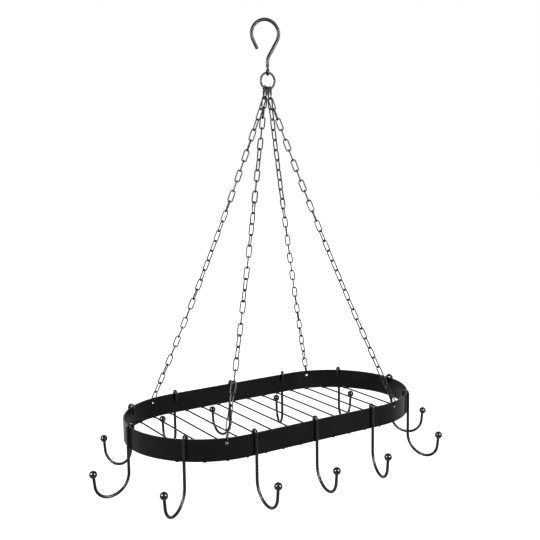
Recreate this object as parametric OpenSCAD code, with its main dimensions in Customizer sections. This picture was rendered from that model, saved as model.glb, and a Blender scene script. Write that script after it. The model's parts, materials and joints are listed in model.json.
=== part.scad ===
// Hanging pot rack: an oval rim of flat bar with a grid of round rods, four chains, a ring, a hook to
// hang it by, and pot hooks that slide along the rim. Millimetres, +Z up, +X along the rack, +Y back.
// The origin is the inside of the ceiling hook's bowl, straight above the middle of the rack.

/* [Rim] */
// Overall length of the rim
rack_length = 750; // [620:5:900]
// Overall width of the rim
rack_width = 385; // [320:5:460]
// Height of the flat bar that the rim is bent from
rim_height = 50; // [42:1:60]
// Thickness of the flat bar
rim_thick = 3; // [2.5:0.5:3.5]
// Bevel along the edges of the flat bar
rim_bevel = 0.4; // [0.2:0.1:0.6]

/* [Grid] */
// Number of rods across the rim
rod_count = 15; // [9:2:15]
// Diameter of a rod
rod_wire = 4; // [3:0.5:6]
// Distance from the inside of the rim's end to the middle of the first rod
rod_end_space = 49; // [30:1:70]
// Height of a rod's middle above the bottom edge of the rim
rod_lift = 1; // [0:0.5:6]

/* [Chains] */
// Number of links in a chain
links = 32; // [28:2:36]
// Wire of a link
link_wire = 3; // [2.5:0.1:3.2]
// Length of the opening in a link
link_inner_length = 25.8; // [22:0.1:31]
// Width of the opening in a link
link_inner_width = 8; // [7.5:0.1:9]
// Sideways sag of a chain at its middle
chain_sag = 8; // [0:1:12]
// Space between neighbouring chains on the ring
chain_space = 2; // [1.5:0.1:3]
// Diameter of a chain hole in the rim
hole_width = 7; // [6:0.1:8]
// Depth of a chain hole's middle below the top edge of the rim
hole_drop = 11.7; // [10:0.1:16]
// Angle from the start of the rim's round end to a chain hole
hole_angle = 15.7; // [8:0.1:24]

/* [Ring] */
// Outer diameter of the ring
ring_width = 43; // [40:1:52]
// Wire of the ring
ring_wire = 5; // [4:0.1:5.2]

/* [Ceiling hook] */
// Wire of the ceiling hook
hook_wire = 8; // [6:0.1:8]
// Inside radius of the bowl that goes over a ceiling eye or rail
bowl_radius = 28.5; // [22:0.5:36]
// Sideways distance from the middle of the bowl to the shank
bowl_offset = 5; // [0:0.5:10]
// Distance from the hanging point down to the middle of the eye
hook_length = 115; // [114:1:150]
// Lean of the neck from upright
neck_lean = 30; // [26:1:34]
// Radius of the bend between the neck and the shank
neck_bend = 32; // [24:1:40]
// Straight length at the open end of the bowl
tip_length = 22; // [12:1:30]
// Lean of the open end from upright
tip_lean = 26; // [10:1:34]
// Wire of the eye, drawn thinner than the shank
eye_wire = 5; // [4.6:0.1:5.4]
// Inside radius of the eye that holds the ring
eye_radius = 3.8; // [3.6:0.1:6]
// Turn of the hook about the upright line, seen from above
hook_turn = -17; // [-45:1:45]

/* [Pot hooks] */
// Number of pot hooks, evenly spread along the rim
pot_hook_count = 12; // [12]
// Wire of a pot hook
pot_wire = 7; // [6:0.1:8]
// Gap inside the crook that goes over the rim
crook_gap = 6.5; // [6:0.1:9]
// Length of the short leg behind the rim
short_leg = 17; // [10:1:30]
// Straight length of the long leg below the top edge of the rim
long_leg = 103; // [85:1:125]
// Radius of the first bend under the leg
first_bend = 47; // [38:1:56]
// Radius of the second bend, up to the ball
second_bend = 34; // [26:1:40]
// Angle of the second bend
second_turn = 84; // [80:1:89]
// Straight length from the second bend to the middle of the ball
ball_stub = 28; // [20:1:40]
// Diameter of the ball
ball_width = 18; // [14:1:24]

/* [Hidden] */
// Clearances
link_gap = 0.3;      // between two joined links, and between a link and what it hangs on
ring_gap = 0.3;      // between the ring and the hook's eye
leg_gap = 0.3;       // between a pot hook's long leg and the rim
seat_gap = 0.2;      // between a pot hook's crook and the rim's top corner
weld_gap = 0.1;      // between a rod's end and the inside of the rim
socket_gap = 0.1;    // around the wire in a ball
ball_cover = 6;      // length of wire inside a ball

// A run that follows a slanted bend starts a little inside it, and is a hair thinner.
run_lap = 1;
run_step = 0.1;
tip_bevel = 0.8;
wire_facets = 48;
bend_facets = 96;
rim_facets = 240;

// Outline of the rim
end_radius = rack_width / 2;
straight_half = rack_length / 2 - end_radius;
inner_radius = end_radius - rim_thick;
middle_radius = end_radius - rim_thick / 2;
rim_outline_length = 4 * straight_half + 2 * PI * end_radius;

// Ceiling hook: the shank stands on the Z axis, and the bowl's middle is beside it.
bowl_middle_radius = bowl_radius + hook_wire / 2;
bowl_z = -sqrt(pow(bowl_radius, 2) - pow(bowl_offset, 2));
neck_length = (bowl_middle_radius * cos(neck_lean) - bowl_offset) / sin(neck_lean);
neck_corner_z = bowl_z - bowl_middle_radius * sin(neck_lean) - neck_length * cos(neck_lean);
neck_tangent = neck_bend * tan(neck_lean / 2);
bowl_turn = 180 + neck_lean + tip_lean;
eye_middle_radius = eye_radius + eye_wire / 2;
eye_taper = 10;      // length over which the shank narrows, down to the middle of the eye's wire
eye_step = 0.6;      // how much thinner than the eye's wire the shank is there
eye_z = -hook_length;
shank_low_z = eye_z + eye_middle_radius + eye_taper;
shank_high_z = neck_corner_z - neck_tangent;

// Ring: it hangs in the eye, across it.
ring_middle_radius = (ring_width - ring_wire) / 2;
ring_z = eye_z - eye_radius + ring_gap + ring_wire / 2 - ring_middle_radius;

// Chains, in this order along the ring. Each has its side along X, its side along Y, and how it twists on
// its way down: pairs of a link and the direction of the width of the odd links there, from +X.
CHAINS = ["chain_front_left", "chain_back_left", "chain_front_right", "chain_back_right"];
chain_side = [[-1, -1], [-1, 1], [1, -1], [1, 1]];
chain_turns = [
    [[1, 90], [5, 57], [10, -33], [17, -123], [22, -213], [27, -303], [32, -376]],
    [[1, 90], [7, 147], [10, 147], [17, 102], [24, 57], [27, 54], [32, 16]],
    [[1, 90], [4, 57], [12, 52], [17, 12], [25, -6], [32, 16]],
    [[1, 90], [7, 108], [11, 98], [15, 65], [20, 55], [28, 84], [32, 164]]
];
twist_links = 32;           // the link that the last pair of each twist stands for
chain_offset = -2;          // the chains hang a little to the left on the ring
chain_spread = link_wire + chain_space;
first_lean = [6, 12];       // lean of the first link along X and along Y
link_length = link_inner_length + link_wire;
link_radius = (link_inner_width + link_wire) / 2;
link_overlap = (link_wire + link_gap) / 2;
link_pitch = link_inner_length - link_gap;
last_reach = link_length - link_radius - link_overlap;
sag_loss = 8 / 3 * pow(chain_sag, 2) / ((links - 2) * link_pitch);
chain_reach = (links - 2) * link_pitch + last_reach - sag_loss;
hole_rise = sqrt(pow(link_inner_width / 2 - link_gap, 2) - pow(rim_thick / 2, 2));
pivot_drop = hole_drop - hole_width / 2 - hole_rise;

function unit(v) = v / norm(v);
function mean(v, i = 0) = i == len(v) ? 0 : v[i] / len(v) + mean(v, i + 1);

// Where a chain's first link hangs on the ring, and the point where the second link takes over
function ring_spot(c) = chain_offset + (c - (len(CHAINS) - 1) / 2) * chain_spread;
function first_direction(c) =
    unit([chain_side[c][0] * tan(first_lean[0]), chain_side[c][1] * tan(first_lean[1]), -1]);
function ring_low_z(x) = ring_z - sqrt(pow(ring_middle_radius, 2) - pow(x, 2));
function ring_seat(c) = [ring_spot(c), 0, ring_low_z(abs(ring_spot(c)) + link_wire / 2)];
function first_top(c) =
    ring_seat(c) - first_direction(c) * (ring_wire / 2 + link_gap + link_wire / 2 - link_overlap);
function first_joint(c) = first_top(c) + first_direction(c) * (link_length - 2 * link_overlap);

// The last link turns about the middle of its round end, in the thickness of the bar above the hole, so
// that its wire stays under the top of the hole when the chain leans along the bar.
function hole_xy(c) = [
    chain_side[c][0] * (straight_half + middle_radius * sin(hole_angle)),
    chain_side[c][1] * middle_radius * cos(hole_angle)
];
function along_bar(c) = [chain_side[c][0] * cos(hole_angle), -chain_side[c][1] * sin(hole_angle)];
function lean_along_bar(c) =
    ([first_joint(c)[0], first_joint(c)[1]] - hole_xy(c)) * along_bar(c) / chain_reach;
function pivot_xy(c) = hole_xy(c) + link_radius * lean_along_bar(c) * along_bar(c);
function chain_run(c) = norm(pivot_xy(c) - [first_joint(c)[0], first_joint(c)[1]]);
function chain_low_z(c) = first_joint(c)[2] - sqrt(pow(chain_reach, 2) - pow(chain_run(c), 2));
rim_top_z = mean([for (c = [0 : len(CHAINS) - 1]) chain_low_z(c)]) + pivot_drop;
rim_low_z = rim_top_z - rim_height;
hole_z = rim_top_z - hole_drop;
rod_z = rim_low_z + rod_lift;

// Joint i of a chain is the point where link i hands over to link i + 1.
function pivot(c) = [pivot_xy(c)[0], pivot_xy(c)[1], rim_top_z - pivot_drop];
function last_direction(c) = unit(first_joint(c) - pivot(c));
function last_joint(c) = pivot(c) + last_reach * last_direction(c);
function sag_direction(run) = unit([0, 0, -1] + (run[2] * run));
function on_sagging_line(from, to, t) =
    from + t * (to - from) + 4 * chain_sag * t * (1 - t) * sag_direction(unit(to - from));
function chain_joint(c, i) =
    i == 0 ? first_top(c)
    : i == links ? pivot(c) - (link_radius - link_overlap) * last_direction(c)
    : on_sagging_line(first_joint(c), last_joint(c), (i - 1) / (links - 2));
function link_turn(c, i) = lookup(i * twist_links / links, chain_turns[c]) + (i % 2 == 0 ? 90 : 0);

// Pot hooks: how far each has slid from its even place, and how far it is turned on its leg
hook_slide = [-6, -5, -7, -7, -3.5, 2, 7, 7, -1, -5, -3, -5];
hook_swivel = [-5, -15, -19, -33, -18, -22, 5, -3, -14, 2, -14, 0];
crook_radius = (crook_gap + pot_wire) / 2;
leg_out = pot_wire / 2 + leg_gap;
crook_drop = sqrt(pow(crook_gap / 2 - seat_gap, 2) - pow(crook_gap / 2 - leg_gap, 2));
ball_out = leg_out + first_bend + second_bend * sin(second_turn) + ball_stub * cos(second_turn);
ball_drop = long_leg + first_bend - second_bend * (1 - cos(second_turn)) - ball_stub * sin(second_turn);

// Point on the rim's outside, s along it from the middle of the front: [x, y, outward direction]
function rim_place(s) =
    let (arc = PI * end_radius)
    s < 0 ? rim_place(s + rim_outline_length)
    : s < straight_half ? [s, -end_radius, -90]
    : s < straight_half + arc ? let (a = 180 * (s - straight_half) / arc)
        [straight_half + end_radius * sin(a), -end_radius * cos(a), a - 90]
    : s < 3 * straight_half + arc ? [2 * straight_half + arc - s, end_radius, 90]
    : s < 3 * straight_half + 2 * arc ? let (a = 180 * (s - 3 * straight_half - arc) / arc)
        [-straight_half - end_radius * sin(a), end_radius * cos(a), 90 + a]
    : [s - rim_outline_length, -end_radius, -90];
function hook_place(k) = rim_place(k * rim_outline_length / pot_hook_count + hook_slide[k]);

function two_digits(n) = n < 10 ? str("0", n) : str(n);
function numbered(name, k) = str(name, "_", two_digits(k + 1));

// A wire bent in the XZ plane. It starts at the origin and heads up. Each step is [length] for a straight
// run, or [radius, turn] for a bend, where a positive turn leans the wire towards +X.
module bent_wire(wire, steps, tip = false, slanted = false, i = 0) {
    if (i == len(steps)) {
        if (tip) wire_tip(wire);
    }
    else {
        step = steps[i];
        turn = len(step) == 1 ? 0 : step[1];
        side = turn < 0 ? -1 : 1;
        lap = slanted ? run_lap : 0;
        end_x = turn == 0 ? 0 : side * step[0] * (1 - cos(turn));
        end_z = turn == 0 ? step[0] : step[0] * sin(abs(turn));
        if (turn == 0)
            translate([0, 0, -lap]) cylinder(h = step[0] + lap, d = wire, $fn = wire_facets);
        else if (side > 0) wire_bend(wire, step[0], turn, lap);
        else mirror([1, 0, 0]) wire_bend(wire, step[0], -turn, lap);
        after_slant = turn % 90 != 0;
        translate([end_x, 0, end_z])
            rotate([0, turn, 0])
                bent_wire(after_slant ? wire - run_step : wire, steps, tip, after_slant, i + 1);
    }
}

module wire_bend(wire, radius, turn, lap) {
    lap_turn = 180 / PI * lap / radius;
    translate([radius, 0, 0])
        rotate([90, 0, 0])
            mirror([1, 0, 0])
                rotate([0, 0, -lap_turn])
                    rotate_extrude(angle = turn + lap_turn, $fn = bend_facets)
                        translate([radius, 0]) circle(d = wire, $fn = wire_facets);
}

module wire_tip(wire) {
    cylinder(h = tip_bevel, d1 = wire, d2 = wire - 2 * tip_bevel, $fn = wire_facets);
}

// The hook is one wire: up from the shank over the neck and the bowl, and down to a closed eye, which
// stands across the bowl.
module ceiling_hook() {
    color("#191a1c")
        rotate([0, 0, hook_turn]) {
            translate([0, 0, shank_low_z]) {
                bent_wire(hook_wire, [
                    [shank_high_z - shank_low_z],
                    [neck_bend, neck_lean],
                    [neck_length - neck_tangent],
                    [bowl_middle_radius, -bowl_turn],
                    [tip_length]
                ], tip = true);
                mirror([0, 0, 1])
                    cylinder(h = eye_taper, d1 = hook_wire, d2 = eye_wire - eye_step, $fn = wire_facets);
            }
            translate([0, 0, eye_z])
                rotate([90, 0, 90])
                    rotate_extrude($fn = bend_facets)
                        translate([eye_middle_radius, 0]) circle(d = eye_wire, $fn = wire_facets);
        }
}

module top_ring() {
    color("#191a1c")
        translate([0, 0, ring_z])
            rotate([90, 0, 0])
                rotate_extrude($fn = bend_facets)
                    translate([ring_middle_radius, 0]) circle(d = ring_wire, $fn = wire_facets);
}

// One link, in the XZ plane, with its middle at the origin
module chain_link() {
    straight = link_length - 2 * link_radius;
    translate([-link_radius, 0, -straight / 2])
        bent_wire(link_wire, [[straight], [link_radius, 180], [straight], [link_radius, 180]]);
}

module link_between(top, low, turn) {
    rise = top - low;
    lean = acos(rise[2] / norm(rise));
    heading = atan2(rise[1], rise[0]);
    translate((top + low) / 2)
        rotate([0, lean, heading])
            rotate([0, 0, turn - heading])
                chain_link();
}

module chain(c) {
    color("#202124")
        for (i = [1 : links])
            link_between(chain_joint(c, i - 1), chain_joint(c, i), link_turn(c, i));
}

// Section of the flat bar, with its inside face at x = 0 and its bottom edge at y = 0
module bar_section() {
    b = rim_bevel;
    t = rim_thick;
    h = rim_height;
    polygon([[b, 0], [t - b, 0], [t, b], [t, h - b], [t - b, h], [b, h], [0, h - b], [0, b]]);
}

module rim_straight() {
    translate([-straight_half, 0, 0])
        rotate([90, 0, 90])
            linear_extrude(2 * straight_half)
                translate([inner_radius, 0]) bar_section();
}

module rim_round_end() {
    translate([straight_half, 0, 0])
        rotate([0, 0, -90])
            rotate_extrude(angle = 180, $fn = rim_facets)
                translate([inner_radius, 0]) bar_section();
}

module chain_hole(side) {
    bore_length = 4 * rim_thick;
    heading = atan2(side[1] * cos(hole_angle), side[0] * sin(hole_angle));
    translate([side[0] * straight_half, 0, hole_z])
        rotate([0, 0, heading])
            translate([middle_radius - bore_length / 2, 0, 0])
                rotate([0, 90, 0])
                    cylinder(h = bore_length, d = hole_width, $fn = wire_facets);
}

module rim_band() {
    color("#141517")
        difference() {
            translate([0, 0, rim_low_z])
                for (turn = [0, 180])
                    rotate([0, 0, turn]) {
                        rim_straight();
                        rim_round_end();
                    }
            for (side = chain_side) chain_hole(side);
        }
}

// A rod ends square where the rim is straight, and follows the rim's inside where it is round.
module grid_rod(k) {
    inner_half = rack_length / 2 - rim_thick;
    space = 2 * (inner_half - rod_end_space) / (rod_count - 1);
    x = (k - (rod_count - 1) / 2) * space;
    reach = inner_radius - weld_gap;
    color("#191a1c")
        if (abs(x) < straight_half + rod_wire)
            translate([x, -reach, rod_z])
                rotate([-90, 0, 0])
                    cylinder(h = 2 * reach, d = rod_wire, $fn = wire_facets);
        else
            intersection() {
                translate([x, -inner_radius, rod_z])
                    rotate([-90, 0, 0])
                        cylinder(h = 2 * inner_radius, d = rod_wire, $fn = wire_facets);
                translate([sign(x) * straight_half, 0, rod_z - rod_wire])
                    cylinder(h = 2 * rod_wire, r = reach, $fn = rim_facets);
            }
}

// The pot hook's own frame: the rim's top edge at z = 0, its outside face at x = 0, outwards is +X.
module at_hook_place(k) {
    place = hook_place(k);
    translate([place[0], place[1], rim_top_z])
        rotate([0, 0, place[2]])
            translate([leg_out, 0, 0])
                rotate([0, 0, hook_swivel[k]])
                    translate([-leg_out, 0, 0])
                        children();
}

module pot_hook(k) {
    short_length = short_leg - crook_drop - tip_bevel;
    color("#191a1c")
        at_hook_place(k)
            translate([leg_out - 2 * crook_radius, 0, -crook_drop - short_length]) {
                mirror([0, 0, 1]) wire_tip(pot_wire);
                bent_wire(pot_wire, [
                    [short_length],
                    [crook_radius, 180],
                    [long_leg - crook_drop],
                    [first_bend, -90],
                    [second_bend, -second_turn],
                    [ball_stub - ball_width / 2 + ball_cover]
                ]);
            }
}

module hook_ball(k) {
    color("#191a1c")
        at_hook_place(k)
            translate([ball_out, 0, -ball_drop])
                rotate([0, 90 - second_turn, 0])
                    difference() {
                        sphere(d = ball_width, $fn = bend_facets);
                        translate([0, 0, -ball_width])
                            cylinder(
                                h = ball_width / 2 + ball_cover + socket_gap,
                                d = pot_wire + 2 * socket_gap,
                                $fn = wire_facets
                            );
                    }
}

ceiling_hook();
top_ring();
rim_band();
for (c = [0 : len(CHAINS) - 1])
    chain(c);
for (k = [0 : rod_count - 1])
    grid_rod(k);
for (k = [0 : pot_hook_count - 1]) {
    pot_hook(k);
    hook_ball(k);
}
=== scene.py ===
# %% [markdown]
# # A hanging pot rack in black painted steel
#
# The rack is an oval of flat bar with a grid of thin rods, four link chains, a ring, a ceiling hook and
# twelve ball-ended pot hooks. Its pieces come ready made from the frame, at their real size. What is left
# for this script is what the eye meets first: paint with the right gloss, worn where steel rubs on steel,
# the welds that hold the rack together, the light, and the camera.

import json
import math

import bmesh
import bpy
import numpy as np
from mathutils import Matrix, Vector


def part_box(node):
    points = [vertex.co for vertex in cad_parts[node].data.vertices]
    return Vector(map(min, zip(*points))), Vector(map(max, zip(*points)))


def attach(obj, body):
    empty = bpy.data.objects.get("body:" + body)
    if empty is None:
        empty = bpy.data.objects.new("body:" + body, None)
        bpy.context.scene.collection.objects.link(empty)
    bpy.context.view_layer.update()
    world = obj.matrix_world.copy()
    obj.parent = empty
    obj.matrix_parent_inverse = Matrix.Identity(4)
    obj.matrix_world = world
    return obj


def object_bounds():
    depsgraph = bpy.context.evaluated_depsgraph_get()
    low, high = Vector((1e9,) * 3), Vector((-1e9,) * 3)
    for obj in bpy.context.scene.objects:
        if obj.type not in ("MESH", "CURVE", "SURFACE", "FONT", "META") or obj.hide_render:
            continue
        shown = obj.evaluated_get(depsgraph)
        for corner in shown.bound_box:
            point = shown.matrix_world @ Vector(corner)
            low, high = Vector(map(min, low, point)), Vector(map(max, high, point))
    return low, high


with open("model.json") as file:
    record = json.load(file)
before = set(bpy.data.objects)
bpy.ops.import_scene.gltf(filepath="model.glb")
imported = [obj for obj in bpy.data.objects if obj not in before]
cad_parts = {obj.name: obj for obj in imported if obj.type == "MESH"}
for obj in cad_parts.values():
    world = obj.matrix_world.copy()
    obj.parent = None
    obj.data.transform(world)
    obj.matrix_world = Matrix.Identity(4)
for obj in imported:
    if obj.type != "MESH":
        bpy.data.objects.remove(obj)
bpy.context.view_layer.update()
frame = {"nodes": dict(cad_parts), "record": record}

# %% [markdown]
# ## The sizes that the frame gives
#
# The welds made here have to sit on the steel. Their places could be typed in, but would be wrong as soon as
# the rack changed, so every size is read from the boxes of the frame's own pieces. The rim's box gives its
# length, its width and its height. A rod in the middle reaches from one side of the rim to the other, but
# for a hair at each end, so its box also gives the inside of the flat bar.

# %% Sizes of the rim and its rods
MILLIMETRES = 1000
WELD_GAP = 0.0001

rim_low, rim_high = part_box("rim_band")
rim_top = rim_high.z
end_radius = (rim_high.y - rim_low.y) / 2
straight_half = rim_high.x - end_radius
rod_names = sorted(name for name in frame["nodes"] if name.startswith("grid_rod"))
middle_rod_low, middle_rod_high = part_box(rod_names[len(rod_names) // 2])
rod_radius = (middle_rod_high.x - middle_rod_low.x) / 2
inner_radius = middle_rod_high.y + WELD_GAP
print("rim", round(2 * MILLIMETRES * rim_high.x, 1), "by", round(2 * MILLIMETRES * end_radius, 1), "mm")
print("inside radius of its ends", round(MILLIMETRES * inner_radius, 1), "mm")

# %% [markdown]
# ## Camera
#
# The picture was taken from the front left, from a little above the rim. A camera could be turned by eye
# until the view looks right. Here its numbers come from a fit to the outlines of the rim, the balls and the
# chains, because a long oval seen at a low angle gives away an error of half a degree. Its place is counted
# from the middle of the rim's top edge. Its lens is known in pixels, and the sensor's width turns that into
# the millimetres that Blender takes.

# %% Camera
CAMERA_YAW = 32.675
CAMERA_PITCH = 7.489
CAMERA_ROLL = -0.745
CAMERA_FROM_RIM = Vector((-1.0841, -1.6894, 0.5849))
FOCAL_PIXELS = 841.76
PICTURE_PIXELS = 540
SENSOR_WIDTH = 36.0


def add_camera():
    """Makes the camera. It looks along the yaw, is tipped down by the pitch, and rolled about its view."""
    data = bpy.data.cameras.new("camera")
    data.sensor_width = SENSOR_WIDTH
    data.lens = FOCAL_PIXELS * SENSOR_WIDTH / PICTURE_PIXELS
    camera = bpy.data.objects.new("camera", data)
    bpy.context.scene.collection.objects.link(camera)
    turn = Matrix.Rotation(math.radians(-CAMERA_YAW), 4, "Z")
    tip = Matrix.Rotation(math.radians(90 - CAMERA_PITCH), 4, "X")
    roll = Matrix.Rotation(math.radians(CAMERA_ROLL), 4, "Z")
    camera.matrix_world = Matrix.Translation(Vector((0, 0, rim_top)) + CAMERA_FROM_RIM) @ turn @ tip @ roll
    bpy.context.scene.camera = camera
    return camera


camera = add_camera()
print("camera made, lens", round(camera.data.lens, 2), "mm")

# %% [markdown]
# ## Building materials from nodes
#
# A material is a tree of nodes. Each node could be added and wired in its own few lines, but the paints need
# some twenty of them. Four small helpers keep the recipe readable: one adds a node and sets its numbers, one
# does sums, one stretches a range, and one makes a noise. The size of the noise is given in metres, so that
# it can be compared with what a ruler would show on the real coat.

# %% Node helpers
NOISE_ROUGHNESS = 0.55


def add_node(tree, kind, **inputs):
    """Adds a node and sets its sockets by name, with underscores for spaces."""
    node = tree.nodes.new(kind)
    for name, value in inputs.items():
        node.inputs[name.replace("_", " ")].default_value = value
    return node


def add_math(tree, operation, first, second=None):
    """Adds a Math node. Each input is a socket or a number."""
    node = tree.nodes.new("ShaderNodeMath")
    node.operation = operation
    for place, value in enumerate((first, second)):
        if isinstance(value, bpy.types.NodeSocket):
            tree.links.new(value, node.inputs[place])
        elif value is not None:
            node.inputs[place].default_value = value
    return node.outputs[0]


def add_ramp(tree, value, from_low, from_high, to_low=0.0, to_high=1.0):
    """Maps a socket from one range to another in a straight line, and clamps it there."""
    node = tree.nodes.new("ShaderNodeMapRange")
    tree.links.new(value, node.inputs["Value"])
    ends = {"From Min": from_low, "From Max": from_high, "To Min": to_low, "To Max": to_high}
    for name, number in ends.items():
        node.inputs[name].default_value = number
    return node.outputs["Result"]


def add_noise(tree, place, size, detail=2.0):
    """A noise whose lumps are about size metres across, on the piece's own coordinates."""
    node = add_node(tree, "ShaderNodeTexNoise", Scale=1 / size, Detail=detail, Roughness=NOISE_ROUGHNESS)
    tree.links.new(place, node.inputs["Vector"])
    return node.outputs["Fac"]


print("node helpers ready")

# %% [markdown]
# ## Paint
#
# All the steel is black, but not alike: the flat bar has a satin coat, the bent wires are glossier, the balls
# are the glossiest, and the chains are blackened links that catch the light on every bend. Five materials
# could be built one by one. One function with a few numbers makes them all, because they differ in gloss and
# not in kind. Its wide noise changes colour and gloss a little from place to place, and its fine noise is
# the slight orange peel of a sprayed coat.
#
# Black paint is mostly what it mirrors, so in a white room its specular level matters more than its colour.
# That level is a low number, set on the shader's own socket.

# %% Black paint
# Colour of bare steel: for rubbed spots, and on the rim also for a painted highlight along the top edge and
# round the holes.
RUBBED_STEEL_AND_HIGHLIGHT = (0.16, 0.155, 0.15)
PATCH_SIZE = 0.07
PATCH_DETAIL = 3.0
PATCH_RANGE = (0.3, 0.7)
DARK_PATCH, LIGHT_PATCH = 0.75, 1.3
GLOSSY_PATCH, DULL_PATCH = 0.86, 1.14
COAT_ROUGHNESS = 0.06


def add_color_mix(tree, factor, first, second):
    """Blends two colours. Each is a socket or three numbers."""
    node = add_node(tree, "ShaderNodeMix")
    node.data_type = "RGBA"
    tree.links.new(factor, node.inputs["Factor"])
    for side, color in (("A", first), ("B", second)):
        if isinstance(color, bpy.types.NodeSocket):
            tree.links.new(color, node.inputs[side])
        else:
            node.inputs[side].default_value = (*color, 1)
    return node.outputs["Result"]


def black_paint(name, color, roughness, specular, peel_size, peel_depth, coat=0.0, wear=None):
    """Black paint on steel. Its patches differ in colour and roughness, and where the mask that wear makes is
    high, it is rubbed down to the steel. On the rim that mask is also a painted highlight in steel colour."""
    material = bpy.data.materials.new(name)
    material.use_nodes = True
    tree = material.node_tree
    shader = tree.nodes["Principled BSDF"]
    place = add_node(tree, "ShaderNodeTexCoord").outputs["Object"]
    patches = add_noise(tree, place, PATCH_SIZE, PATCH_DETAIL)
    dark, light = [[share * channel for channel in color] for share in (DARK_PATCH, LIGHT_PATCH)]
    paint_color = add_color_mix(tree, patches, dark, light)
    gloss = add_ramp(tree, patches, *PATCH_RANGE, roughness * GLOSSY_PATCH, roughness * DULL_PATCH)
    if wear:
        mask = wear(tree, place)
        # Blends towards bare steel where the mask is high: wear, and on the rim also a painted highlight.
        paint_color = add_color_mix(tree, mask, paint_color, RUBBED_STEEL_AND_HIGHLIGHT)
        tree.links.new(mask, shader.inputs["Metallic"])
    tree.links.new(paint_color, shader.inputs["Base Color"])
    tree.links.new(gloss, shader.inputs["Roughness"])
    bump = add_node(tree, "ShaderNodeBump", Strength=1.0, Distance=peel_depth)
    tree.links.new(add_noise(tree, place, peel_size), bump.inputs["Height"])
    tree.links.new(bump.outputs["Normal"], shader.inputs["Normal"])
    shader.inputs["Specular IOR Level"].default_value = specular
    shader.inputs["Coat Weight"].default_value = coat
    shader.inputs["Coat Roughness"].default_value = COAT_ROUGHNESS
    return material


print("paint in patches of", MILLIMETRES * PATCH_SIZE, "mm, rubbed steel is", RUBBED_STEEL_AND_HIGHLIGHT)

# %% [markdown]
# ## Where the paint is worn, and where a highlight is painted
#
# Paint on a tool that hangs and slides doesn't stay whole. Pot hooks slide along the top edge of the rim, and
# the last link of each chain works in its hole. Both are drawn as a thin bright line in the black coat, which
# is partly rubbed steel and partly a painted highlight: the light line along the lit top edge, and the glint
# at each hole. Wear could be painted by hand on an image, but a mask worked out from the place on the steel
# needs no image and stays sharp at any distance. It is a number from 0 to 1, and the paint blends towards
# steel where it is high.
#
# The rim's mask is high within a fraction of a millimetre of the top edge, and again close round the four
# holes. All four holes are at the same place if the signs are left off, so one Absolute node and one
# Distance node find them all. On the wires and the links the coat is only rubbed in small spots, which are
# the peaks of a fine noise. On the rods and the balls it is whole.

# %% Small rubbed spots
WEAR_DETAIL = 4.0
SPOT_EDGE = 0.08
KNOCK_SIZE = 0.009


def spot_wear(size, low, most):
    """Makes a mask of small rubbed spots: 0 where a noise is below low, and rising to most above it."""

    def wear(tree, place):
        return add_ramp(tree, add_noise(tree, place, size, WEAR_DETAIL), low, low + SPOT_EDGE, 0.0, most)

    return wear


knocks = spot_wear(KNOCK_SIZE, low=0.775, most=0.5)
print("knocks are the peaks of a noise of", MILLIMETRES * KNOCK_SIZE, "mm")

# %% Wear and painted highlight of the rim
# The edge and hole masks paint a highlight in bare steel colour, which also stands for rubbed steel.
EDGE_REACH = 0.0007
HOLE_DROP = 0.0117
HOLE_ANGLE = 15.7
HOLE_RADIUS = 0.0035
HOLE_BRIGHTEST = 0.0004
HOLE_REACH = 0.0012
RUB_AND_HIGHLIGHT_SIZE = 0.004
RUB_AND_HIGHLIGHT_RANGE = (0.35, 0.65)
LEAST_RUB_AND_HIGHLIGHT, MOST_RUB_AND_HIGHLIGHT = 0.18, 0.7


def add_vector_math(tree, operation, first, second=(0, 0, 0)):
    """Adds a Vector Math node for a socket and a fixed vector."""
    node = tree.nodes.new("ShaderNodeVectorMath")
    node.operation = operation
    tree.links.new(first, node.inputs[0])
    node.inputs[1].default_value = second
    return node


def rim_wear_and_highlight(tree, place):
    """Partly rubbed steel and partly a painted highlight: high on the top edge and round each chain hole,
    broken up by a noise, and in a few small knocks of wear.
    """
    split = add_node(tree, "ShaderNodeSeparateXYZ")
    tree.links.new(place, split.inputs[0])
    edge = add_ramp(tree, split.outputs["Z"], rim_top - EDGE_REACH, rim_top)
    middle = (end_radius + inner_radius) / 2
    angle = math.radians(HOLE_ANGLE)
    hole_place = (straight_half + middle * math.sin(angle), middle * math.cos(angle), HOLE_DROP - rim_top)
    folded = add_vector_math(tree, "ABSOLUTE", place).outputs["Vector"]
    reach = add_vector_math(tree, "DISTANCE", folded, hole_place).outputs["Value"]
    hole = add_ramp(tree, reach, HOLE_RADIUS + HOLE_REACH, HOLE_RADIUS + HOLE_BRIGHTEST)
    uneven = add_ramp(tree, add_noise(tree, place, RUB_AND_HIGHLIGHT_SIZE, WEAR_DETAIL), *RUB_AND_HIGHLIGHT_RANGE, LEAST_RUB_AND_HIGHLIGHT, MOST_RUB_AND_HIGHLIGHT)
    # Painted highlight and rubbed steel on the top edge and round the holes, broken up by the noise.
    rubbed_and_highlit = add_math(tree, "MULTIPLY", add_math(tree, "MAXIMUM", edge, hole), uneven)
    return add_math(tree, "MAXIMUM", rubbed_and_highlit, knocks(tree, place))


# The top edge and the holes carry a painted highlight as well as rubbed steel.
print("rubbed round holes of", 2 * MILLIMETRES * HOLE_RADIUS, "mm, and along the top edge of the rim")

# %% [markdown]
# ## The five paints
#
# The flat bar's highlight is wide and weak. The wires are smoother, so that a lamp draws a streak along them.
# A ball is smooth enough to show the shape of the lamp, and has a thin clear coat on top. These differences
# could be five calls with a row of bare numbers each. A table in which each number has its name is easier to
# read, and to change. The frame's record says which paint each piece takes.

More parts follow.
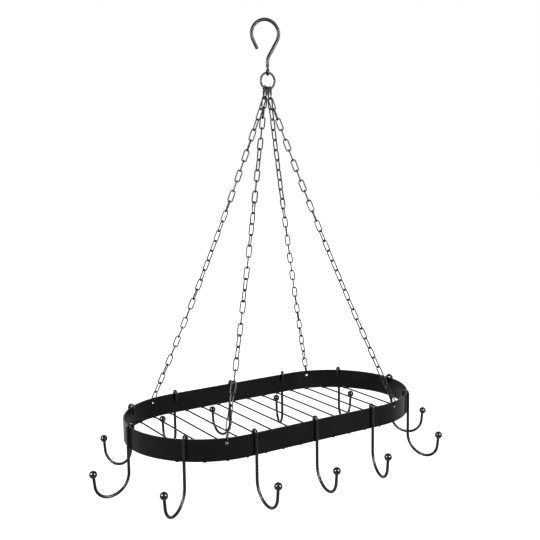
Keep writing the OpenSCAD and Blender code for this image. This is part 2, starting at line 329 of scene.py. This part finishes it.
# %% Paint every piece of the frame
WIRE_BLACK = (0.004, 0.004, 0.0044)
FINISHES = {
    # The rim's mask paints a highlight along its top edge and round its holes, as well as wear.
    "rim_paint": {
        "color": (0.0045, 0.0045, 0.0060), "roughness": 0.34, "specular": 0.042,
        "peel_size": 0.0018, "peel_depth": 0.000016, "wear": rim_wear_and_highlight,
    },
    "rod_paint": {
        "color": WIRE_BLACK, "roughness": 0.28, "specular": 0.08,
        "peel_size": 0.0015, "peel_depth": 0.000005,
    },
    "wire_paint": {
        "color": WIRE_BLACK, "roughness": 0.30, "specular": 0.13,
        "peel_size": 0.0024, "peel_depth": 0.000003, "wear": spot_wear(size=0.006, low=0.76, most=0.25),
    },
    "ball_paint": {
        "color": (0.003, 0.003, 0.0033), "roughness": 0.06, "specular": 0.16,
        "peel_size": 0.0030, "peel_depth": 0.000001, "coat": 0.1,
    },
    "chain_steel": {
        "color": WIRE_BLACK, "roughness": 0.28, "specular": 0.11,
        "peel_size": 0.0020, "peel_depth": 0.000006, "wear": spot_wear(size=0.003, low=0.74, most=0.25),
    },
}
paints = {name: black_paint(name, **finish) for name, finish in FINISHES.items()}

slot_of_node = {part["node"]: part["material_slot"] for part in frame["record"]["subparts"]}
for node_name, node_object in frame["nodes"].items():
    node_object.data.materials.clear()
    node_object.data.materials.append(paints[slot_of_node[node_name]])
print("painted", len(slot_of_node), "nodes with", len(paints), "paints")

# %% [markdown]
# ## Surfaces from grids of points
#
# The pieces that follow are small lumps of weld. They could be modelled one at a time, with a sculpting
# brush. Here each is a grid of points that closes on itself like a doughnut, or like a barrel that is shut
# at both ends. The points are worked out as whole arrays, and one function turns them into a mesh, so that
# thirty beads cost no more lines than one, and each can still differ from the next.

# %% Faces of a grid


def grid_faces(index, barrel):
    """Four-sided faces between neighbours in a grid of point numbers, shaped (pieces, rows, columns).
    Columns close on themselves, and so do the rows, unless the piece is a barrel."""
    beside = np.roll(index, -1, axis=2)
    last = index.shape[1] - 1 if barrel else index.shape[1]
    corners = [index, beside, np.roll(beside, -1, axis=1), np.roll(index, -1, axis=1)]
    return np.stack([corner[:, :last] for corner in corners], axis=-1).reshape(-1, 4).tolist()


def end_fans(points, index):
    """Shuts a barrel: the middle of each end row, and three-sided faces from it to that row's points."""
    middles = points[:, [0, -1]].mean(axis=2).reshape(-1, 3)
    hubs = index.size + np.arange(len(middles)).reshape(-1, 2, 1)
    ends = index[:, [0, -1]]
    fans = np.stack([np.broadcast_to(hubs, ends.shape), ends, np.roll(ends, -1, axis=2)], axis=-1)
    return middles, fans.reshape(-1, 3).tolist()


print("a doughnut of 3 by 3 points has", len(grid_faces(np.arange(9).reshape(1, 3, 3), False)), "faces")

# %% [markdown]
# ## From points to a piece
#
# A piece needs a mesh whose faces look outwards, a paint, and a body of the frame to ride on. It could be
# made at the origin and then moved to its place. Here its place is in its mesh, and its object stays at the
# origin, as the frame's own pieces do, so that the pattern of the paint runs through them all.

# %% Make a piece


def make_piece(name, points, body, slot, barrel=False):
    """Joins grids of points, shaped (pieces, rows, columns, 3), into one object, and rides it on a body."""
    index = np.arange(points[..., 0].size).reshape(points.shape[:3])
    vertices = points.reshape(-1, 3)
    faces = grid_faces(index, barrel)
    if barrel:
        middles, fans = end_fans(points, index)
        vertices = np.concatenate([vertices, middles])
        faces += fans
    mesh = bpy.data.meshes.new(name)
    mesh.from_pydata(vertices.tolist(), [], faces)
    shell = bmesh.new()
    shell.from_mesh(mesh)
    bmesh.ops.recalc_face_normals(shell, faces=shell.faces)
    shell.to_mesh(mesh)
    shell.free()
    mesh.shade_smooth()
    mesh.materials.append(paints[slot])
    piece = bpy.data.objects.new(name, mesh)
    bpy.context.scene.collection.objects.link(piece)
    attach(piece, body)
    print("made", name, "with", len(faces), "faces, on", body)


print("ready to make pieces in", ", ".join(paints))

# %% [markdown]
# ## Weld beads at the ends of the rods
#
# Each rod is welded to the inside of the flat bar, close to its lower edge, with a small bead that runs all
# the way round the rod. A little of it hangs out below the bar, which is what shows from the front as a row
# of bumps. A torus would be quick, but it is round where the real bead fills a corner. So the bead is a
# doughnut whose section is a rounded fillet: it starts on the rod, swells, and ends on the bar, and its last
# point closes it through the steel.

# %% Section of a bead
BEAD_LEG = 0.0019
BEAD_SINK = 0.0004
BEAD_SWELL = 0.1
BEAD_ROWS = 9


def fillet_profile(leg, sink, rows):
    """Section of a bead, as (out from the rod, off the bar): a quarter circle, swollen by a tenth in its
    middle, and then back through the steel."""
    turn = np.linspace(0, np.pi / 2, rows - 1)
    swell = 1 + BEAD_SWELL * np.sin(2 * turn)
    out = np.append(leg * np.sin(turn) * swell, -sink)
    off = np.append(leg * np.cos(turn) * swell, -sink)
    return out, off


bead_out, bead_off = fillet_profile(BEAD_LEG, BEAD_SINK, BEAD_ROWS)
print("a bead reaches", round(MILLIMETRES * bead_out.max(), 2), "mm out from its rod")

# %% [markdown]
# ## The thirty beads
#
# The same bead could be copied to both ends of all fifteen rods, but the bar is straight in its middle and
# round at its ends, so the wall behind a bead curves away from it. Each point is therefore measured from the
# wall at its own place along X. Three slow waves round the rod, different at each end, keep the beads from
# looking cast.

# %% Beads at both ends of every rod
BEAD_COLUMNS = 28
BEAD_WAVES = ((2, 0.10, 1.0), (3, 0.07, -1.7), (7, 0.05, 3.0))
PHASE_STEP = 2.4


def wall_distance(x):
    """How far the inside of the bar is from the middle line at x. It is the inner radius along the straight,
    and the square root of that radius squared less the way past the straight squared along the end."""
    past = np.maximum(np.abs(x) - straight_half, 0)
    return np.sqrt(inner_radius**2 - past**2)


def bead_points(rod, side, phase):
    """A point is out from the rod's middle at an angle, and off the wall along Y. Both are times a wave round
    the rod: 1 and three sines of a count of turns, each with its height and its share of the phase."""
    low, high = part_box(rod)
    around = np.linspace(0, 2 * np.pi, BEAD_COLUMNS, endpoint=False)
    waves = 1 + sum(height * np.sin(turns * around + share * phase) for turns, height, share in BEAD_WAVES)
    distance = rod_radius + bead_out[:, None] * waves
    x = (low.x + high.x) / 2 + distance * np.cos(around)
    z = (low.z + high.z) / 2 + distance * np.sin(around)
    y = side * (wall_distance(x) - bead_off[:, None] * waves)
    return np.stack([x, y, z], axis=-1)


rod_beads = np.array([
    bead_points(rod, side, PHASE_STEP * number + side)
    for number, rod in enumerate(rod_names)
    for side in (-1, 1)
])
make_piece("rod_welds", rod_beads, "rack", "rod_paint")

# %% [markdown]
# ## Finding the links of a chain
#
# A link is a bent wire whose two ends meet in the middle of one long side, where they are welded. To place
# the welds, 128 places and angles could be copied from the drawing of the chains. The script asks each
# chain's mesh instead, which can't be out of date. Vertices that share an edge belong to the same link. The
# directions in which a link's vertices spread most, less and least are its length, width and thickness.

# %% Separate the solids of a mesh
MERGE_STEP = 1e-6


def merged_vertices(mesh):
    """Places of the vertices, each place once, and the edges between them as pairs of numbers."""
    places = np.empty(len(mesh.vertices) * 3)
    mesh.vertices.foreach_get("co", places)
    places = places.reshape(-1, 3)
    steps = np.round(places / MERGE_STEP)
    _, first, merged = np.unique(steps, axis=0, return_index=True, return_inverse=True)
    edges = np.empty(len(mesh.edges) * 2, dtype=np.int64)
    mesh.edges.foreach_get("vertices", edges)
    return places[first], merged.reshape(-1)[edges.reshape(-1, 2)]


def solid_labels(count, edges):
    """The lowest vertex number in each vertex's solid. Numbers pass along the edges, the lower one winning,
    until none changes."""
    label = np.arange(count)
    while True:
        lowest = np.minimum(label[edges[:, 0]], label[edges[:, 1]])
        found = label.copy()
        np.minimum.at(found, edges[:, 0], lowest)
        np.minimum.at(found, edges[:, 1], lowest)
        found = found[found]
        if np.array_equal(found, label):
            return label
        label = found


print("3 points and 1 edge make", len(set(solid_labels(3, np.array([[1, 2]])))), "solids")

# %% Frames of the links


def link_frames(node):
    """Middle, axes (length, width, thickness) and half sizes of each link. The axes are the eigenvectors of
    its vertices' covariance, each turned so that its X is positive."""
    places, edges = merged_vertices(frame["nodes"][node].data)
    label = solid_labels(len(places), edges)
    middles, axes, halves = [], [], []
    for link in np.unique(label):
        corners = places[label == link]
        middle = (corners.min(axis=0) + corners.max(axis=0)) / 2
        spread = np.linalg.eigh(np.cov((corners - middle).T))[1].T[::-1]
        spread = spread * np.where(spread[:, :1] < 0, -1, 1)
        reach = (corners - middle) @ spread.T
        middles.append(middle)
        axes.append(spread)
        halves.append((reach.max(axis=0) - reach.min(axis=0)) / 2)
    return np.array(middles), np.array(axes), np.array(halves)


chain_names = sorted(name for name in frame["nodes"] if name.startswith("chain_"))
chain_links = {name: link_frames(name) for name in chain_names}
for name, (middles, _, halves) in chain_links.items():
    print(name, "has", len(middles), "links of", np.round(2 * MILLIMETRES * halves.mean(axis=0), 2), "mm")

# %% [markdown]
# ## Welds of the links
#
# The weld leaves a slight swelling on the wire. A flat ball sunk into the wire would do from far away, but
# the real one fades into the wire at both ends. A barrel does that, whose radius follows a bell curve along
# the wire. It is repeated 128 times, so it has only a few dozen faces.

# %% Swellings of weld on the links
SWELL_HEIGHT = 0.00028
SWELL_REACH = 0.0026
SWELL_ROWS = 7
SWELL_COLUMNS = 12
END_INSET = 0.985


def swelling(wire_radius, height, reach, rows, columns):
    """A barrel along a wire, as local offsets. Its radius is a little less than the wire's, and a bell curve
    on top: its height times e to the power of minus the square of twice the way along over its reach."""
    along = np.linspace(-reach, reach, rows)
    radius = wire_radius * END_INSET + height * np.exp(-((2 * along / reach) ** 2))
    around = np.linspace(0, 2 * np.pi, columns, endpoint=False)
    across = radius[:, None] * np.cos(around)
    upward = radius[:, None] * np.sin(around)
    return np.stack(np.broadcast_arrays(along[:, None], across, upward), axis=-1)


def along_frames(offsets, origins, axes):
    """Puts local offsets (..., 3) at each origin, turned to its three axes: sum of offset times axis."""
    return origins[:, None, None] + np.einsum("prci,pij->prcj", offsets, axes)


for name, (middles, axes, halves) in chain_links.items():
    weld_places = middles + axes[:, 1] * (halves[:, 1] - halves[:, 2])[:, None]
    weld = swelling(halves[:, 2].mean(), SWELL_HEIGHT, SWELL_REACH, SWELL_ROWS, SWELL_COLUMNS)
    link_welds = along_frames(np.broadcast_to(weld, (len(middles), *weld.shape)), weld_places, axes)
    make_piece(f"link_welds_{name}", link_welds, "rack", "chain_steel", barrel=True)

# %% [markdown]
# ## Weld of the ring
#
# The ring that gathers the chains is bent and welded in the same way, from thicker wire. A new shape could be
# drawn for it, but the same function with larger numbers gives it. The weld is on the right side of the ring,
# a little above its middle, where nothing hangs. The ring's box gives the wire, which is as thick as the box
# is deep, and the circle that the wire follows.

# %% Swelling of weld on the ring
RING_WELD_ANGLE = 12.0
RING_SWELL_HEIGHT = 0.0004
RING_SWELL_REACH = 0.0028
RING_SWELL_ROWS = 9
RING_SWELL_COLUMNS = 24

ring_low, ring_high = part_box("top_ring")
ring_wire_radius = (ring_high.y - ring_low.y) / 2
ring_middle_radius = (ring_high.x - ring_low.x) / 2 - ring_wire_radius
ring_angle = math.radians(RING_WELD_ANGLE)
outward = np.array([math.cos(ring_angle), 0, math.sin(ring_angle)])
ring_axes = np.array([[-outward[2], 0, outward[0]], outward, [0, 1, 0]])
ring_place = np.array((ring_low + ring_high) / 2) + ring_middle_radius * outward
weld = swelling(ring_wire_radius, RING_SWELL_HEIGHT, RING_SWELL_REACH, RING_SWELL_ROWS, RING_SWELL_COLUMNS)
ring_weld = along_frames(weld[None], ring_place[None], ring_axes[None])
make_piece("ring_weld", ring_weld, "ring", "wire_paint", barrel=True)

# %% [markdown]
# ## Collars under the balls
#
# A ball is pushed onto the end of its hook and welded from below, and the paint fills the corner. The collar
# is a small hollow fillet turned round the wire: from the ball it curves in, and runs out down the wire. It
# could be bent out of the ball's own mesh, but the frame's meshes are left alone, so it is a piece of its
# own that rides with the hook.

# %% Section of a collar
WIRE_RADIUS = 0.0035
COLLAR_OUT = 0.0012
COLLAR_DOWN = 0.0018
COLLAR_LIFT = 0.0001
COLLAR_SINK = 0.0004
COLLAR_ROWS = 8


def collar_profile(ball_radius):
    """Section of a collar, as (out from the wire's middle, down from the ball's middle): a hollow quarter
    curve between ball and wire, closed through the steel. It starts where the ball is as wide as the collar,
    by the square root of the ball's radius squared less the collar's squared."""
    top = math.sqrt(ball_radius**2 - (WIRE_RADIUS + COLLAR_OUT) ** 2) - COLLAR_LIFT
    turn = np.linspace(0, np.pi / 2, COLLAR_ROWS - 2)
    out = WIRE_RADIUS + COLLAR_OUT * (1 - np.sin(turn))
    down = top + COLLAR_DOWN * (1 - np.cos(turn))
    out = np.concatenate([out, [WIRE_RADIUS - COLLAR_SINK] * 2])
    down = np.concatenate([down, [top + COLLAR_DOWN, top]])
    return out, down


print("a collar is", MILLIMETRES * COLLAR_OUT, "mm wide and", MILLIMETRES * COLLAR_DOWN, "mm high")

# %% [markdown]
# ## A collar on every pot hook
#
# A ball leans outwards a little with the end of its wire, each in the direction in which its hook hangs. The
# twelve directions could be typed in, but the frame knows them: the seat of a hook and the middle of its ball
# are both in the hook's own plane, so the line between them points outwards.

# %% Collars of the pot hooks
BALL_LEAN = 6.0
COLLAR_COLUMNS = 36

mounts = {mount["name"]: np.array(mount["pos_m"]) for mount in frame["record"]["mounts"]}


def collar_points(ball, seat):
    """The section turned round the wire's axis, which leans outwards from the ball's middle."""
    low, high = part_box(ball)
    radius = (high.x - low.x) / 2
    out, down = collar_profile(radius)
    middle = np.array([(low.x + high.x) / 2, (low.y + high.y) / 2, high.z - radius])
    flat = (middle - seat) * [1, 1, 0]
    outwards = flat / np.linalg.norm(flat)
    lean = math.radians(BALL_LEAN)
    up = np.array([0, 0, math.cos(lean)]) + outwards * math.sin(lean)
    across = np.array([-outwards[1], outwards[0], 0])
    around = np.linspace(0, 2 * np.pi, COLLAR_COLUMNS, endpoint=False)
    circle = np.cos(around)[:, None] * across + np.sin(around)[:, None] * np.cross(up, across)
    return middle - down[:, None, None] * up + out[:, None, None] * circle


hook_names = sorted(name for name in frame["nodes"] if name.startswith("pot_hook"))
for hook in hook_names:
    number = hook.split("_")[-1]
    points = collar_points(f"hook_ball_{number}", mounts[f"seat_of_{hook}"])
    make_piece(f"collar_{number}", points[None], hook, "wire_paint")

# %% [markdown]
# ## White surroundings
#
# A rack for a catalogue hangs in a white room. Light strong enough to make a room plain white would also turn
# black paint grey. So the world is plain white only to the camera and to mirror rays, and the light that it
# throws on the rack is dimmer. The Light Path node tells the two apart.

# %% World
AMBIENT = 0.5


def seen_by_eye(tree):
    """1 for camera, glossy and transmission rays, which show the white room, and 0 for light on the rack."""
    path = tree.nodes.new("ShaderNodeLightPath")
    direct = add_math(tree, "MAXIMUM", path.outputs["Is Camera Ray"], path.outputs["Is Glossy Ray"])
    return add_math(tree, "MAXIMUM", direct, path.outputs["Is Transmission Ray"])


def add_world():
    """A dim white world that looks plain white."""
    world = bpy.data.worlds.new("world")
    world.use_nodes = True
    tree = world.node_tree
    background = tree.nodes["Background"]
    background.inputs["Color"].default_value = (1, 1, 1, 1)
    tree.links.new(add_ramp(tree, seen_by_eye(tree), 0, 1, AMBIENT, 1.0), background.inputs["Strength"])
    bpy.context.scene.world = world


add_world()
print("world made, ambient", AMBIENT)

# %% [markdown]
# ## Floor
#
# The rack hangs high above the floor, so its shadow there is soft and faint. A white world alone would do for
# the background, but then there would be no shadow at all. The floor is a real pale surface that takes it. In
# this light it would look grey, and greyer the further away it is. A glow that only the eye sees makes up for
# that: it is weak under the rack, where the lamps reach, and full far away.

# %% Floor
FLOOR_DROP = 1.35
FLOOR_HALF = 30.0
FLOOR_COLOR = (0.85, 0.85, 0.85)
FLOOR_GLOW_NEAR, FLOOR_GLOW_FAR = 0.30, 1.0
LIT_REACH, UNLIT_REACH = 0.5, 4.0


def add_plane(name, corners):
    """A plane with a new material that can glow white. Returns the plane, its node tree and its shader."""
    mesh = bpy.data.meshes.new(name)
    mesh.from_pydata([tuple(corner) for corner in corners], [], [(0, 1, 2, 3)])
    plane = bpy.data.objects.new(name, mesh)
    bpy.context.scene.collection.objects.link(plane)
    material = bpy.data.materials.new(name)
    material.use_nodes = True
    mesh.materials.append(material)
    shader = material.node_tree.nodes["Principled BSDF"]
    shader.inputs["Emission Color"].default_value = (1, 1, 1, 1)
    return plane, material.node_tree, shader


def add_floor():
    """A wide pale floor. Its glow makes up for the light that it lacks, and grows with the distance."""
    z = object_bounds()[0].z - FLOOR_DROP
    corners = [(x * FLOOR_HALF, y * FLOOR_HALF, z) for x, y in ((-1, -1), (1, -1), (1, 1), (-1, 1))]
    floor, tree, shader = add_plane("floor", corners)
    shader.inputs["Base Color"].default_value = (*FLOOR_COLOR, 1)
    shader.inputs["Roughness"].default_value = 1.0
    shader.inputs["Specular IOR Level"].default_value = 0.0
    place = add_node(tree, "ShaderNodeTexCoord").outputs["Object"]
    reach = add_vector_math(tree, "DISTANCE", place, (0, 0, z)).outputs["Value"]
    glow = add_ramp(tree, reach, LIT_REACH, UNLIT_REACH, FLOOR_GLOW_NEAR, FLOOR_GLOW_FAR)
    tree.links.new(add_math(tree, "MULTIPLY", glow, seen_by_eye(tree)), shader.inputs["Emission Strength"])


add_floor()
print("floor made", FLOOR_DROP, "m below the rack")

# %% [markdown]
# ## Lamps
#
# Each ball shows two bright windows, one to the left and one to the right, so there was a soft lamp on each
# side of the camera. Two small lamps would light the rack as well, but would show as dots on the balls and
# throw hard shadows. So both are wide rectangles, at a power at which the paint keeps its colour. The
# Standard view leaves the colours as they are written.

# %% Lamps
LAMP_POWER = 30.0
LAMP_SIZE = (0.8, 1.0)
LAMP_PLACES = {"left": (-2.2, 0.1, 0.75), "right": (1.0, -1.95, 0.75)}


def add_softbox(name, place):
    """A rectangular lamp that shines at the middle of the rim."""
    data = bpy.data.lights.new(name, "AREA")
    data.shape = "RECTANGLE"
    data.size, data.size_y = LAMP_SIZE
    data.energy = LAMP_POWER
    lamp = bpy.data.objects.new(name, data)
    bpy.context.scene.collection.objects.link(lamp)
    lamp.location = Vector(place) + Vector((0, 0, rim_top))
    lamp.rotation_euler = (Vector((0, 0, rim_top)) - lamp.location).to_track_quat("-Z", "Y").to_euler()


for lamp_name, lamp_place in LAMP_PLACES.items():
    add_softbox(lamp_name, lamp_place)
bpy.context.scene.view_settings.view_transform = "Standard"
print("lamps made:", ", ".join(LAMP_PLACES))

# %% [markdown]
# ## Bright cards for the gloss
#
# Black gloss has almost no colour of its own, so it is drawn by what it mirrors. A studio has a big bright
# card beside each lamp, which shows as a clean window on every ball and as a streak down every wire. Stronger
# lamps would draw the same windows, but would turn the paint grey. Here each card is a plane that only mirror
# rays can see, so it adds nothing to the light on the steel.

# %% Cards
CARD_GLOW = 120.0
CARD_SIZE = (0.7, 0.9)
CARD_PLACES = {"left": (-1.98, -0.25, 0.95), "right": (0.59, -1.91, 0.95)}


def add_card(name, place):
    """A glowing rectangle at place, square to the line from the middle of the rim, for mirror rays alone."""
    away = Vector(place).normalized()
    across = away.cross(Vector((0, 0, 1))).normalized() * CARD_SIZE[0] / 2
    up = across.cross(away).normalized() * CARD_SIZE[1] / 2
    middle = Vector(place) + Vector((0, 0, rim_top))
    corners = [middle - across - up, middle + across - up, middle + across + up, middle - across + up]
    card, _, shader = add_plane(f"card_{name}", corners)
    shader.inputs["Emission Strength"].default_value = CARD_GLOW
    card.visible_camera = False
    card.visible_diffuse = False
    card.visible_transmission = False
    card.visible_shadow = False


for card_name, card_place in CARD_PLACES.items():
    add_card(card_name, card_place)
print("cards made:", ", ".join(CARD_PLACES))
